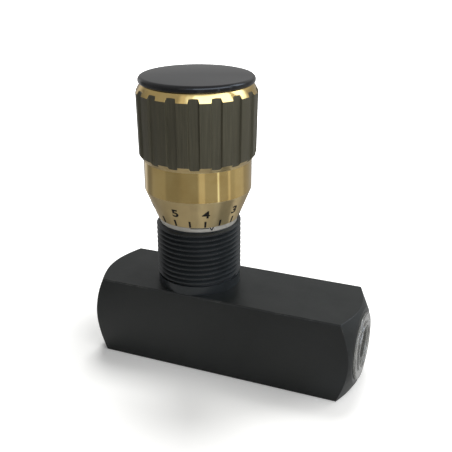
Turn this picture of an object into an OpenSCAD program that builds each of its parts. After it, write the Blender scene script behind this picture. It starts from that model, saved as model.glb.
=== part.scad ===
// One-way flow control valve: a square bar body with a port in each end, a
// threaded neck that carries the throttle spindle, and a check valve in the
// right-hand port.
// Millimetres. +Z runs up the spindle, +X along the ports towards the plugged
// end, and the origin is where the spindle's axis meets the body's flat base.

/* [Body] */
// Width and height of the square bar
body_side = 25; // [24.5:0.5:32]
// From the spindle's axis to the left end face
left_len = 30.6; // [30:0.1:45]
// From the spindle's axis to the right end face
right_len = 51; // [50.5:0.5:75]
// Radius of the flat ring left at each turned end
end_ring_r = 11.2; // [10.8:0.1:12]
// Slope of the turned cone, measured from the end face
end_cone_angle = 30; // [20:5:45]
// Break on the four long edges
edge_break = 0.3; // [0.1:0.1:0.8]

/* [Ports] */
// Radius of the port bore, the thread's major radius
port_r = 8.33; // [7.8:0.01:8.8]
// Depth of the port bore
port_depth = 12.5; // [11:0.5:13]
// Width of the chamfer at the port's mouth
port_chamfer = 0.7; // [0.3:0.1:0.9]
// Radius of the passage from the left port to the throttle
passage_r = 4.25; // [3.5:0.05:4.8]

/* [Throttle] */
// Radius of the vertical chamber round the needle
chamber_r = 5; // [4.6:0.1:5.4]
// How far the needle's seat lies below the port axis
seat_drop = 5; // [4.5:0.1:5.5]
// Radius of the throttle orifice
orifice_r = 2; // [1.8:0.1:2.4]
// Radius of the drilled way from the orifice to the check chamber
bypass_r = 1.4; // [1.1:0.1:1.6]
// Half angle of the needle
needle_angle = 15; // [12:1:20]
// Radius of the spindle's lower shank
lower_shank_r = 3; // [2.7:0.1:3.4]

/* [Neck] */
// Radius of the neck's thread
neck_r = 12.5; // [12:0.1:15]
// Radius of the plain collar under the thread
collar_r = 12.3; // [11.8:0.1:12.4]
// Height of the collar
collar_h = 2.7; // [2:0.1:5]
// Length of the neck's thread
neck_len = 16.9; // [14:0.1:25]
// Chamfer at the top of the neck
neck_chamfer = 0.6; // [0.3:0.1:1]
// Radius of the bonnet's thread in the body
bonnet_thread_r = 10; // [9.7:0.1:10.3]
// Depth of the bonnet in the body
bonnet_depth = 6.8; // [6:0.1:7]
// Height of the seal recess round the bonnet at the body's top
seal_recess_h = 1.6; // [1.4:0.1:2]
// How far the seal recess runs out past the bonnet's thread
seal_recess_step = 1; // [0.8:0.1:1.4]
// Height of the spigot inside the knob
spigot_h = 16.7; // [15:0.1:20]
// Radius of the spigot
spigot_r = 10.4; // [9.8:0.1:10.5]
// Wall of the scale sleeve
sleeve_wall = 0.98; // [0.6:0.02:1]

/* [Spindle] */
// Radius of the sealed shank
shank_r = 5.5; // [5.3:0.1:5.8]
// How much slimmer the spindle's thread is than its shank
thread_step = 0.5; // [0.2:0.1:0.8]
// Rise of the spindle in one turn
thread_pitch = 1; // [0.5:0.25:1.25]
// How much slimmer the plain stem is than the thread
stem_step = 1; // [0.7:0.1:1.2]
// How much slimmer the knob's seat is than the stem
knob_seat_step = 0.6; // [0.4:0.1:0.8]
// Depth of each of the two flats on that seat
knob_seat_flat = 0.7; // [0.3:0.1:0.9]
// Turns from closed to fully open
full_turns = 4; // [3:0.5:4]
// Numbers round the scale cone
scale_numbers = 9; // [8:1:10]
// Turns open as stored, in whole turns
stored_turns = 1; // [0:1:2]
// Scale number at the index as stored
stored_number = 3.75; // [0:0.25:7]

/* [Knob] */
// Wall left at the scale cone's lower edge
skirt_edge = 0.5; // [0.4:0.1:2]
// Height of the scale cone
cone_h = 8.7; // [7:0.1:12]
// Radius of the polished drum
drum_r = 15.55; // [15.3:0.01:19]
// Height of the polished drum
drum_h = 8.7; // [7:0.1:12]
// How far the fluted grip stands out from the drum at its foot
grip_step = 1.25; // [0.8:0.01:3]
// Height of the grip between its two chamfers
grip_h = 17.6; // [14:0.1:25]
// How much further the grip stands out at its top
grip_lean = 0.27; // [0:0.01:0.5]
// Height of the grip's lower chamfer
low_chamfer_h = 1.7; // [1:0.1:3]
// Height of the grip's upper chamfer
top_chamfer_h = 2.4; // [1:0.1:3]
// How far the upper chamfer runs in
top_chamfer = 1.3; // [0.6:0.05:1.4]
// Flutes round the grip
flutes = 17; // [12:1:20]
// Depth of a flute
flute_depth = 0.65; // [0.3:0.05:0.75]
// Width of a flute at its floor
flute_floor = 2.5; // [1.5:0.1:3]
// Width of a flute at its mouth
flute_mouth = 3.2; // [3.1:0.1:4]
// Turn of the first land from the front, towards the right
land_turn = 10.4; // [0:0.1:22]
// Radius of the pocket for the knob's screw
pocket_r = 6.3; // [6:0.1:8]
// Depth of that pocket
pocket_depth = 6.9; // [6.5:0.1:8]

/* [Cap] */
// How far the cap stands out from the knob's top
cap_step = 0.57; // [0:0.01:0.6]
// Height of the cap's rim
cap_h = 1.9; // [1.9:0.1:3]
// Rounding of the rim's upper corner
cap_round = 1.1; // [0.3:0.05:1.2]
// Rounding of the rim's lower corner
cap_low_round = 0.6; // [0.3:0.05:0.7]
// Rise of the dome over the rim
dome_h = 0.35; // [0.2:0.05:2]
// Outer radius of the ring that snaps into the knob
cap_ring_r = 13; // [12:0.1:14]
// Wall of that ring
cap_ring_wall = 1.2; // [1:0.1:2]
// Depth of that ring
cap_ring_depth = 2.4; // [1.5:0.1:4]

/* [Check valve] */
// Radius of the check chamber
check_bore_r = 7.25; // [6.9:0.05:7.4]
// Distance from the spindle's axis to the check seat
check_seat_x = 15.5; // [15:0.1:17]
// Radius of the check orifice
check_orifice_r = 3.6; // [3.2:0.1:3.9]
// Length of the poppet's narrow neck
poppet_neck_len = 4.9; // [4.5:0.1:5.5]
// How much wider the poppet's neck is than the check orifice
poppet_neck_step = 1.6; // [1.3:0.1:1.8]
// Wall of the poppet's neck
poppet_neck_wall = 1.4; // [1.2:0.1:1.8]
// Length of the poppet's guided skirt
poppet_skirt_len = 7; // [6:0.1:7.5]
// Wall of the poppet's skirt
poppet_wall = 1.5; // [1.2:0.05:1.6]
// Cross holes in the poppet
poppet_holes = 4; // [3:1:6]
// Radius of a cross hole
poppet_hole_r = 1.5; // [1.2:0.1:1.7]
// Wire radius of the check spring
spring_wire_r = 0.4; // [0.3:0.05:0.5]
// Room between the check spring and the skirt round it
spring_room = 0.4; // [0.2:0.05:0.5]
// Working coils of the check spring
spring_coils = 5; // [4:1:6]
// Thickness of the spring seat
spring_seat_t = 1.5; // [1.2:0.1:2]
// Wall of the boss that centres the spring on its seat
boss_wall = 1.15; // [0.9:0.05:1.5]
// Thickness of the retaining ring
ring_t = 1; // [0.8:0.1:1.2]
// Depth of the retaining ring's groove
ring_groove = 0.5; // [0.3:0.05:0.6]

/* [Plug] */
// How far the plug's flange stands out past the port bore
flange_step = 1.57; // [1.5:0.01:2.2]
// Thickness of the flange
flange_t = 0.7; // [0.5:0.05:1]
// Length of the plug inside the port
plug_len = 9; // [7:0.1:10]
// How much slimmer the plug's mouth is than the port bore, to pass the thread's crests
plug_step = 0.9; // [0.88:0.01:1.1]
// How much the plug narrows to its inner end
plug_taper = 0.5; // [0.2:0.05:0.7]
// Wall of the plug
plug_wall = 1.3; // [1:0.05:1.8]
// How far the rim round the plug's cup stands out from the flange
plug_rim_h = 0.35; // [0.1:0.05:0.5]
// Height of the rib inside the plug
plug_rib_h = 1; // [0.6:0.1:1.2]

/* [Fits] */
// Radial clearance of a running fit
running = 0.05; // [0.02:0.01:0.08]
// Radial clearance of a screwed or pushed fit that stays put
seated = 0.1; // [0.02:0.01:0.15]
// Clearance where faces must not meet
gap = 0.2; // [0.1:0.05:0.3]
// Clearance between the knob and the neck when the valve is shut
shut_gap = 0.18; // [0.1:0.02:0.4]

/* [Hidden] */
$fn = 96;
over = 1;                       // how far a cutter runs past the face it cuts
port_z = body_side / 2;
bar_corner = body_side;         // safely past the bar's corner radius

// Heights in the fixed parts
seat_z = port_z - seat_drop;
bonnet_low = body_side - bonnet_depth;
collar_top = body_side + collar_h;
neck_top = collar_top + neck_len;
spigot_top = neck_top + spigot_h;
relief_depth = 1.1;             // undercut that holds the bonnet's seal
relief_r = bonnet_thread_r - relief_depth;
seal_recess_r = bonnet_thread_r + seal_recess_step;
stop_room = 2;                  // room round the shank for the stop ring
counterbore_r = shank_r + stop_room;
counterbore_rise = 2.5;         // from the body's top to the ceiling that stops the ring
seal_bore_low = body_side + counterbore_rise;
seal_bore_len = 17.5;
thread_low = seal_bore_low + seal_bore_len;
nut_len = 10;                   // thread inside the bonnet
thread_top = thread_low + nut_len;
nut_exit = 0.6;                 // the bore above the thread is this much wider than the stem
wiper_h = 2.5;
wiper_r = 6.5;
wiper_low = spigot_top - wiper_h;
press_gap = 0.02;               // radial gap of the pressed-on sleeve
sleeve_in_r = spigot_r + press_gap;
sleeve_r = sleeve_in_r + sleeve_wall;

// Radii of the spindle
thread_r = shank_r - thread_step;
stem_r = thread_r - stem_step;
knob_seat_r = stem_r - knob_seat_step;
knob_seat_flats = 2 * (knob_seat_r - knob_seat_flat);

// The spindle and all that it carries are drawn shut, then raised by the stored opening
rise = thread_pitch * (stored_turns + stored_number / scale_numbers);
travel = thread_pitch * full_turns;
needle_entry = 0.8;             // how much narrower the tip is than the orifice
needle_tip_r = orifice_r - needle_entry;
tip_z = seat_z - (orifice_r - running - needle_tip_r) / tan(needle_angle);
needle_top = tip_z + (lower_shank_r - needle_tip_r) / tan(needle_angle);
stop_t = 1;
stop_top = seal_bore_low - travel - running;
stop_low = stop_top - stop_t;
stop_groove = 0.6;
stop_ring_r = counterbore_r - 2 * gap;
shank_land = 2.5;               // shank left under the stop ring
shank_low = stop_low - shank_land;
gland_rise = 2;                 // from the foot of the seal bore to the gland, shut
gland_low = seal_bore_low + gland_rise;
gland_depth = 1.6;
gland_r = shank_r - gland_depth;
cord_r = 0.77;                  // section of the spindle's O-ring
backup_t = 1.4;
gland_h = 2 * cord_r + backup_t + 3 * gap;
male_thread_low = thread_low - travel - 2 * running;
male_thread_top = thread_top - travel - 2 * running;

// Heights and radii of the knob, shut
knob_low = neck_top + shut_gap;
cone_top = knob_low + cone_h;
drum_top = cone_top + drum_h;
grip_low = drum_top + low_chamfer_h;
grip_top = grip_low + grip_h;
knob_top = grip_top + top_chamfer_h;
grip_r = drum_r + grip_step;
grip_top_r = grip_r + grip_lean;
crown_r = grip_top_r - top_chamfer;
cap_r = crown_r + cap_step;
skirt_bore_r = sleeve_r + seated;
cone_low_r = skirt_bore_r + skirt_edge;
skirt_top = spigot_top + 2 * gap;
pocket_z = knob_top - pocket_depth;
hub_foot = 2.8;                 // plain bore in the knob under the stem's shoulder
shoulder_z = skirt_top + hub_foot;
stem_top = pocket_z - 1.5 * gap;
screw_r = 2;                    // M4
screw_len = 11;
head_r = 3.5;
head_h = 4;
washer_t = 1;
washer_r = 5.5;
lock_rise = 2.4;                // grub screw above the drum's lower edge
lock_z = cone_top + lock_rise;
pad_r = 1.5;
pad_len = 0.9;
pad_start = sleeve_r + 1.5 * gap;
lock_len = 2.5;
flute_turn = 360 / flutes;

// Places along the ports
seat_bevel = 0.5;
orifice_len = 3.2;              // from the needle's seat to the bypass
bypass_wall = 1;                // metal between the bypass and the check seat
bypass_low = seat_z - orifice_len - bypass_r;
bypass_high = port_z - check_orifice_r - seat_bevel - bypass_wall - bypass_r;
bypass_rise = atan((bypass_high - bypass_low) / check_seat_x);
nose_entry = 1;                 // how much narrower the poppet's nose is than its orifice
poppet_nose_r = check_orifice_r - nose_entry;
poppet_neck_r = check_orifice_r + poppet_neck_step;
poppet_r = check_bore_r - running;
poppet_skirt_bore_r = poppet_r - poppet_wall;
spring_r = poppet_skirt_bore_r - spring_room - spring_wire_r;
spring_ledge = 0.7;             // ledge in the poppet inside the spring
poppet_bore_r = min(poppet_neck_r - poppet_neck_wall, spring_r - spring_wire_r - spring_ledge);
cone_start_x = check_seat_x - (check_orifice_r + seat_bevel - running - poppet_nose_r);
neck_start_x = cone_start_x + poppet_neck_r - poppet_nose_r;
skirt_x = neck_start_x + poppet_neck_len;
skirt_end_x = skirt_x + poppet_skirt_len;
poppet_floor = 0.8;             // from the skirt's start to the face the spring pushes on
spring_x = skirt_x + poppet_floor;
chamber_end_x = right_len - port_depth;
ring_land = 1.5;                // metal between the ring's groove and the port
ring_x = chamber_end_x - ring_land - ring_t;
spring_end_x = ring_x - running - spring_seat_t;
boss_len = 1.4;
boss_r = spring_r - spring_wire_r - 3 * running;
spring_seat_hole_r = boss_r - boss_wall;

plug_mouth_r = port_r - plug_step;
plug_rib_turn = 43;             // of the rib, from straight down towards the back
plug_rib_t = 0.6;
plug_rib_len = 4;
plug_rib_out = 0.4;             // from the port's end face out to the rib's end

// The spring's wire: one dead coil at each end, the working coils between them
dead_coils = 1;
coil_steps = 20;
wire_sides = 8;
dead_pitch = 2.04 * spring_wire_r;
spring_turns = spring_coils + 2 * dead_coils;
wire_low_x = spring_x + running + spring_wire_r;
wire_high_x = spring_end_x - running - spring_wire_r;
coil_pitch = (wire_high_x - wire_low_x - 2 * dead_coils * dead_pitch) / spring_coils;

module raised() { translate([0, 0, rise]) children(); }
module along_x(x) { translate([x, 0, port_z]) rotate([0, 90, 0]) children(); }
module revolve(outline) { rotate_extrude() polygon(outline); }
module tube(outer, inner, low, high) {
    translate([0, 0, low]) linear_extrude(high - low) difference() {
        circle(outer);
        circle(inner);
    }
}
// A ring of round section, mean radius r, at height z
module cord_ring(r, section, z) {
    translate([0, 0, z]) rotate_extrude() translate([r, 0]) circle(section, $fn = 48);
}
// A direction in the plan, from the front of the valve turning to its right
function from_front(turn) = turn - 90;

// The bar before its ports: a square section, turned to a cone at both ends
module turned_bar() {
    half = body_side / 2;
    cut = edge_break;
    slope = tan(end_cone_angle);
    intersection() {
        translate([-left_len, 0, port_z]) rotate([90, 0, 90])
            linear_extrude(left_len + right_len) polygon([
                [cut - half, -half], [half - cut, -half], [half, cut - half], [half, half - cut],
                [half - cut, half], [cut - half, half], [-half, half - cut], [-half, cut - half]]);
        along_x(0) revolve([
            [0, -left_len], [end_ring_r, -left_len],
            [bar_corner, -left_len + (bar_corner - end_ring_r) * slope],
            [bar_corner, right_len - (bar_corner - end_ring_r) * slope],
            [end_ring_r, right_len], [0, right_len]]);
    }
}
// A port bore with its mouth chamfer, drawn from the end face inwards along +Z
module port_cut() {
    revolve([[0, -over], [port_r + port_chamfer + over, -over], [port_r, port_chamfer],
             [port_r, port_depth], [0, port_depth]]);
}
module valve_body() {
    seat_mouth_r = check_orifice_r + seat_bevel + over;
    color("#2b2c2f") difference() {
        turned_bar();
        translate([-left_len, 0, port_z]) rotate([0, 90, 0]) port_cut();
        translate([right_len, 0, port_z]) rotate([0, -90, 0]) port_cut();
        // way in from the left port, with a coned floor where the port bore ends
        along_x(-left_len + port_depth - over)
            cylinder(r = passage_r, h = left_len - port_depth - chamber_r + 2 + over);
        along_x(-left_len + port_depth - 0.01) cylinder(r1 = port_r - 1, r2 = passage_r, h = 2.4);
        // chamber round the needle, throttle orifice, and the bonnet's bore with its seal recess
        translate([0, 0, seat_z]) cylinder(r = chamber_r, h = body_side);
        translate([0, 0, bypass_low]) cylinder(r = orifice_r, h = seat_drop);
        translate([0, 0, bonnet_low - gap]) cylinder(r = bonnet_thread_r, h = body_side);
        translate([0, 0, body_side - seal_recess_h]) cylinder(r = seal_recess_r, h = body_side);
        // check orifice with its bevelled seat, the check chamber and the ring's groove
        along_x(0) cylinder(r = check_orifice_r, h = check_seat_x + over);
        along_x(check_seat_x - seat_bevel)
            cylinder(r1 = check_orifice_r, r2 = seat_mouth_r, h = seat_bevel + over);
        along_x(check_seat_x) cylinder(r = check_bore_r, h = chamber_end_x - check_seat_x + over);
        along_x(ring_x - running) cylinder(r = check_bore_r + ring_groove, h = ring_t + 2 * running);
        // bypass from under the orifice to the check chamber, drilled through the right port
        translate([-1, 0, bypass_low - tan(bypass_rise)]) rotate([0, 90 - bypass_rise, 0])
            cylinder(r = bypass_r, h = (right_len - 1) / cos(bypass_rise));
    }
}
module bonnet() {
    thread = bonnet_thread_r - seated;
    color("#26282b") difference() {
        revolve([
            [0, bonnet_low], [thread - 0.6, bonnet_low], [thread, bonnet_low + 0.6],
            [thread, body_side - seal_recess_h - 0.3], [relief_r, body_side - seal_recess_h],
            [relief_r, body_side], [collar_r, body_side], [collar_r, collar_top], [neck_r, collar_top],
            [neck_r, neck_top - neck_chamfer], [neck_r - neck_chamfer, neck_top],
            [spigot_r, neck_top], [spigot_r, spigot_top - 0.4], [spigot_r - 0.4, spigot_top],
            [0, spigot_top]]);
        translate([0, 0, bonnet_low - over])
            cylinder(r = counterbore_r, h = seal_bore_low - bonnet_low + over);
        translate([0, 0, seal_bore_low - over])
            cylinder(r = shank_r, h = thread_low - seal_bore_low + over);
        translate([0, 0, thread_low - over]) cylinder(r = thread_r, h = thread_top - thread_low + over);
        translate([0, 0, thread_top - over]) cylinder(r = stem_r + nut_exit, h = spigot_top - thread_top);
        translate([0, 0, wiper_low]) cylinder(r = wiper_r, h = wiper_h + over);
    }
}
module bonnet_o_ring() {
    section = min((seal_recess_r - relief_r) / 2 - 0.28, seal_recess_h / 2 - 0.03);
    color("#1c1c1e") cord_ring((seal_recess_r + relief_r) / 2, section, body_side - seal_recess_h / 2);
}
module scale_sleeve() {
    color("#b9bcbd") tube(sleeve_r, sleeve_in_r, neck_top, spigot_top - 0.4);
}
module wiper_ring() {
    color("#3a3f3a") tube(wiper_r - running, stem_r + running, wiper_low, spigot_top - gap);
}

module spindle() {
    shank = shank_r - running;
    thread = thread_r - running;
    color("#9aa0a3") raised() difference() {
        revolve([
            [0, tip_z], [needle_tip_r, tip_z], [lower_shank_r, needle_top], [lower_shank_r, shank_low],
            [shank - 0.5, shank_low], [shank, shank_low + 0.5],
            [shank, male_thread_low - 0.5], [thread, male_thread_low],
            [thread, male_thread_top - 0.6], [stem_r, male_thread_top],
            [stem_r, shoulder_z], [knob_seat_r, shoulder_z], [knob_seat_r, stem_top - 0.4],
            [knob_seat_r - 0.4, stem_top], [0, stem_top]]);
        // gland for the O-ring and its backup ring, and the stop ring's groove
        tube(shank_r + over, gland_r, gland_low, gland_low + gland_h);
        tube(shank_r + over, shank - stop_groove, stop_low, stop_top);
        // two flats that drive the knob, and the screw's hole
        for (side = [-1, 1])
            translate([side * (knob_seat_flats / 2 + over), 0, shoulder_z + body_side / 2])
                cube([2 * over, 4 * knob_seat_r, body_side], center = true);
        translate([0, 0, stem_top - screw_len]) cylinder(r = screw_r, h = screw_len + over);
    }
}
module stop_ring() {
    mouth = 4;
    color("#4c4f52") raised() difference() {
        tube(stop_ring_r, shank_r - stop_groove, stop_low + running / 2, stop_top - running / 2);
        translate([-mouth / 2, 0, stop_low - over]) cube([mouth, 2 * stop_ring_r, stop_t + 2 * over]);
    }
}
module spindle_o_ring() {
    color("#1c1c1e") raised() cord_ring((shank_r + gland_r) / 2, cord_r, gland_low + cord_r + gap);
}
module backup_ring() {
    low = gland_low + 2 * cord_r + 2 * gap;
    color("#e4e2da") raised() tube(shank_r - running, gland_r + running, low, low + backup_t);
}

// The grip's flutes, cut as straight slots with leaning walls
module flutes_cut() {
    floor_r = grip_r - flute_depth;
    side_lean = (flute_mouth - flute_floor) / 2 / flute_depth;
    far = flute_depth + over;
    length = low_chamfer_h + grip_h + top_chamfer_h + 2 * over;
    for (i = [0:flutes - 1])
        rotate([0, 0, from_front(land_turn) + (i + 0.5) * flute_turn])
            translate([floor_r, 0, grip_low]) rotate([0, atan(grip_lean / grip_h), 0])
                translate([0, 0, -low_chamfer_h - over]) linear_extrude(length) polygon([
                    [0, -flute_floor / 2], [far, -flute_floor / 2 - far * side_lean],
                    [far, flute_floor / 2 + far * side_lean], [0, flute_floor / 2]]);
}
module knob() {
    snap_r = cap_ring_r + running;
    snap_in_r = cap_ring_r - cap_ring_wall - running;
    color("#a98e4e") raised() difference() {
        revolve([
            [0, knob_low], [cone_low_r, knob_low], [drum_r, cone_top], [drum_r, drum_top],
            [grip_r, grip_low], [grip_top_r, grip_top], [crown_r, knob_top], [0, knob_top]]);
        flutes_cut();
        translate([0, 0, knob_low - over]) cylinder(r = skirt_bore_r, h = skirt_top - knob_low + over);
        translate([0, 0, skirt_top - over])
            cylinder(r = stem_r + seated, h = shoulder_z - skirt_top + over);
        // bore with two flats, for the stem
        intersection() {
            translate([0, 0, shoulder_z - over]) cylinder(r = knob_seat_r + running, h = knob_top);
            translate([0, 0, knob_top])
                cube([knob_seat_flats + 2 * running, body_side, 2 * body_side], center = true);
        }
        // pocket for the screw, and the groove that the cap's ring snaps into
        translate([0, 0, pocket_z]) cylinder(r = pocket_r, h = pocket_depth + over);
        tube(snap_r, snap_in_r, knob_top - cap_ring_depth - gap, knob_top + over);
        // tapped hole for the grub screw, at the back
        translate([0, 0, lock_z]) rotate([-90, 0, 0]) cylinder(r = screw_r, h = grip_r + over);
    }
}
module knob_washer() {
    color("#b5b8b8") raised() tube(washer_r, screw_r + gap, pocket_z, pocket_z + washer_t);
}
module knob_screw() {
    head_z = pocket_z + washer_t;
    color("#3b3d40") raised() difference() {
        revolve([
            [0, head_z - screw_len], [screw_r - running - 0.5, head_z - screw_len],
            [screw_r - running, head_z - screw_len + 0.5], [screw_r - running, head_z],
            [head_r, head_z], [head_r, head_z + head_h - 0.4], [head_r - 0.4, head_z + head_h],
            [0, head_z + head_h]]);
        // hexagon socket, 3 mm across its flats
        translate([0, 0, head_z + head_h - 2]) cylinder(r = 1.5 / cos(30), h = 2 + over, $fn = 6);
    }
}
// The cap: a rim with rounded corners, a low dome on it and a ring under it
module knob_cap() {
    flat_r = cap_r - cap_round;
    foot_r = cap_r - cap_low_round;
    low = knob_top + cap_low_round;
    high = knob_top + cap_h - cap_round;
    dome_r = (flat_r * flat_r + dome_h * dome_h) / (2 * dome_h);
    dome_z = knob_top + cap_h + dome_h - dome_r;
    dome = [for (i = [1:12]) let (r = flat_r * (1 - i / 12)) [r, dome_z + sqrt(dome_r * dome_r - r * r)]];
    color("#1f2023") raised() {
        revolve(concat(
            [[0, knob_top]],
            [for (a = [-90:10:0]) [foot_r + cap_low_round * cos(a), low + cap_low_round * sin(a)]],
            [for (a = [0:10:90]) [flat_r + cap_round * cos(a), high + cap_round * sin(a)]],
            dome));
        tube(cap_ring_r, cap_ring_r - cap_ring_wall, knob_top - cap_ring_depth, knob_top + 0.2);
    }
}
module lock_screw() {
    start = pad_start + pad_len;
    color("#3b3d40") raised() translate([0, 0, lock_z]) rotate([-90, 0, 0]) difference() {
        translate([0, 0, start]) cylinder(r = screw_r - running, h = lock_len);
        translate([0, 0, start + lock_len - 1.5]) cylinder(r = 1 / cos(30), h = 1.5 + over, $fn = 6);
    }
}
module lock_pad() {
    color("#e4e2da") raised() translate([0, 0, lock_z]) rotate([-90, 0, 0])
        translate([0, 0, pad_start]) cylinder(r = pad_r, h = pad_len);
}

module check_poppet() {
    color("#8d9296") difference() {
        along_x(0) revolve([
            [0, cone_start_x], [poppet_nose_r, cone_start_x], [poppet_neck_r, neck_start_x],
            [poppet_neck_r, skirt_x], [poppet_r - 0.6, skirt_x], [poppet_r, skirt_x + 0.6],
            [poppet_r, skirt_end_x - 0.4], [poppet_r - 0.4, skirt_end_x], [0, skirt_end_x]]);
        along_x(neck_start_x + 1.2) cylinder(r = poppet_bore_r, h = skirt_end_x);
        along_x(spring_x) cylinder(r = poppet_skirt_bore_r, h = skirt_end_x);
        for (i = [0:poppet_holes - 1])
            along_x((neck_start_x + skirt_x) / 2) rotate([0, 0, (i + 0.5) * 360 / poppet_holes])
                rotate([0, 90, 0]) cylinder(r = poppet_hole_r, h = poppet_neck_r + over);
    }
}
// How far along its length the spring's wire is after some turns
function coil_x(turn) =
    turn < dead_coils ? dead_pitch * turn
    : turn < dead_coils + spring_coils ? dead_pitch * dead_coils + coil_pitch * (turn - dead_coils)
    : dead_pitch * (turn - spring_coils) + coil_pitch * spring_coils;
module check_spring() {
    rings = spring_turns * coil_steps;
    points = [for (i = [0:rings], k = [0:wire_sides - 1])
              let (a = i * 360 / coil_steps, b = k * 360 / wire_sides, r = spring_r + spring_wire_r * cos(b))
              [r * cos(a), r * sin(a), coil_x(i / coil_steps) + spring_wire_r * sin(b)]];
    sides = [for (i = [0:rings - 1], k = [0:wire_sides - 1])
             let (n = (k + 1) % wire_sides, p = i * wire_sides, q = p + wire_sides)
             [p + k, q + k, q + n, p + n]];
    ends = [[for (k = [0:wire_sides - 1]) k],
            [for (k = [0:wire_sides - 1]) rings * wire_sides + wire_sides - 1 - k]];
    color("#a7abad") along_x(wire_low_x) polyhedron(points, concat(sides, ends));
}
module spring_seat() {
    color("#85898c") along_x(spring_end_x) difference() {
        union() {
            cylinder(r = check_bore_r - running, h = spring_seat_t);
            translate([0, 0, -boss_len]) cylinder(r = boss_r, h = boss_len + 0.5);
        }
        translate([0, 0, -boss_len - over])
            cylinder(r = spring_seat_hole_r, h = boss_len + spring_seat_t + 2 * over);
    }
}
// Internal snap ring: a split ring whose two lugs have holes for the pliers
module retaining_ring() {
    inner = check_bore_r - 1;
    far = 2 * check_bore_r;
    split = 20;                 // half the opening, in degrees
    lug_turn = split + 13;
    color("#4c4f52") along_x(ring_x) linear_extrude(ring_t) difference() {
        union() {
            difference() {
                circle(check_bore_r + ring_groove - running);
                circle(inner);
            }
            for (side = [-1, 1]) rotate([0, 0, side * lug_turn]) translate([inner - 0.2, 0]) circle(1.5);
        }
        polygon([[0, 0], [far * cos(split), far * sin(split)], [far * cos(split), -far * sin(split)]]);
        for (side = [-1, 1]) rotate([0, 0, side * lug_turn]) translate([inner - 0.3, 0]) circle(0.65);
    }
}
module port_plug() {
    flange_r = port_r + flange_step;
    end = plug_mouth_r - plug_taper;
    cup_r = plug_mouth_r - plug_wall;
    face = flange_t + plug_rim_h;
    color("#d8d8d4") along_x(right_len) {
        revolve([
            [0, -plug_len], [end - 0.3, -plug_len], [end, -plug_len + 0.3],
            [plug_mouth_r, 0], [flange_r, 0], [flange_r, flange_t - 0.25], [flange_r - 0.25, flange_t],
            [plug_mouth_r, flange_t], [plug_mouth_r - 0.15, face],
            [cup_r + 0.3, face], [cup_r, face - 0.3],
            [end - plug_wall, -plug_len + plug_wall], [0, -plug_len + plug_wall]]);
        rotate([0, 0, plug_rib_turn])
            translate([cup_r - plug_rib_h, -plug_rib_t / 2, plug_rib_out - plug_rib_len])
                cube([plug_rib_h + plug_wall / 2, plug_rib_t, plug_rib_len]);
    }
}

valve_body();
bonnet();
bonnet_o_ring();
scale_sleeve();
wiper_ring();
spindle();
stop_ring();
spindle_o_ring();
backup_ring();
knob();
knob_washer();
knob_screw();
knob_cap();
lock_screw();
lock_pad();
check_poppet();
check_spring();
spring_seat();
retaining_ring();
port_plug();
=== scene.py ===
# %% [markdown]
# # A one-way flow control valve
# The valve is a black steel bar with a port in each end, a threaded black neck that stands on it, and a
# turned brass knob with a dark fluted grip under a black cap. Oil passes freely through the bar one way,
# and the other way only through the gap that the knob sets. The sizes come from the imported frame: this
# script gives each piece its finish, breaks its edges, cuts its threads and prints its scale.

# %% Load the frame
import math

import bmesh
import bpy
from mathutils import Matrix, Vector


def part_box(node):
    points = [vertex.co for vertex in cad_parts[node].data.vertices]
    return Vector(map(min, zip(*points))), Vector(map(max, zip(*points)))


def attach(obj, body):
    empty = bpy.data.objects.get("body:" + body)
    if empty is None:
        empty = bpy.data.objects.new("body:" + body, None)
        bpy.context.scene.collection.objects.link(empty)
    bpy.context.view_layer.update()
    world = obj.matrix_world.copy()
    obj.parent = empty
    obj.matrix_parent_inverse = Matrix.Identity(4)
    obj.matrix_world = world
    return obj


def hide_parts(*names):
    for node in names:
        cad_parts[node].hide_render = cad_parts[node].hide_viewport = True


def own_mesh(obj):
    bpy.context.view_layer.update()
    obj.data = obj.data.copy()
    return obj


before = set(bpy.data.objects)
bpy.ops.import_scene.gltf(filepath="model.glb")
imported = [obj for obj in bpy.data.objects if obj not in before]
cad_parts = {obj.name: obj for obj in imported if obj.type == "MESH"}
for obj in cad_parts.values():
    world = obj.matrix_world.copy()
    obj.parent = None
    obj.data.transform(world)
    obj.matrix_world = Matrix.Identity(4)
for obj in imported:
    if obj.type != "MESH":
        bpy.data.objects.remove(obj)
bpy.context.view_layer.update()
MM = 0.001

# %% [markdown]
# ## The camera
# The photograph looks down on the valve from its front right, and the bar runs away to the left. A camera
# can be placed by typing a position, but aiming it is easier to read and to change: it looks at one point,
# from one compass angle and one height, at one distance. The longer the lens, the flatter the picture.

# %% Camera
AIM = Vector((8.93, -0.51, 43.53)) * MM
CAMERA_AZIMUTH = 22.13          # degrees from the front towards the right
CAMERA_ELEVATION = 22.67        # degrees above level
CAMERA_DISTANCE = 217.2 * MM
LENS = 59.03                    # millimetres of lens, for a picture 36 mm wide
NEAREST_SEEN = 10 * MM


def direction(azimuth, elevation):
    """Unit vector from the object towards a compass angle (0 is the front, 90 the right) and a height."""
    turn, rise = math.radians(azimuth), math.radians(elevation)
    return Vector((math.sin(turn) * math.cos(rise), -math.cos(turn) * math.cos(rise), math.sin(rise)))


back = direction(CAMERA_AZIMUTH, CAMERA_ELEVATION)
camera = bpy.data.objects.new("camera", bpy.data.cameras.new("camera"))
bpy.context.scene.collection.objects.link(camera)
camera.data.lens = LENS
camera.data.clip_start = NEAREST_SEEN
camera.location = AIM + back * CAMERA_DISTANCE
camera.rotation_mode = "QUATERNION"
camera.rotation_quaternion = (-back).to_track_quat("-Z", "Y")
bpy.context.scene.camera = camera
print("camera, mm:", [round(c / MM, 1) for c in camera.location])

# %% [markdown]
# ## Nodes and colours
# Every finish here is built from shader nodes. One small function adds a node, sets its properties and
# links its inputs, so that a material reads as a list of what is in it. Colours are written as the sRGB
# hex values that a colour picker shows, and one function turns them into the linear values that a
# renderer works in.

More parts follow.
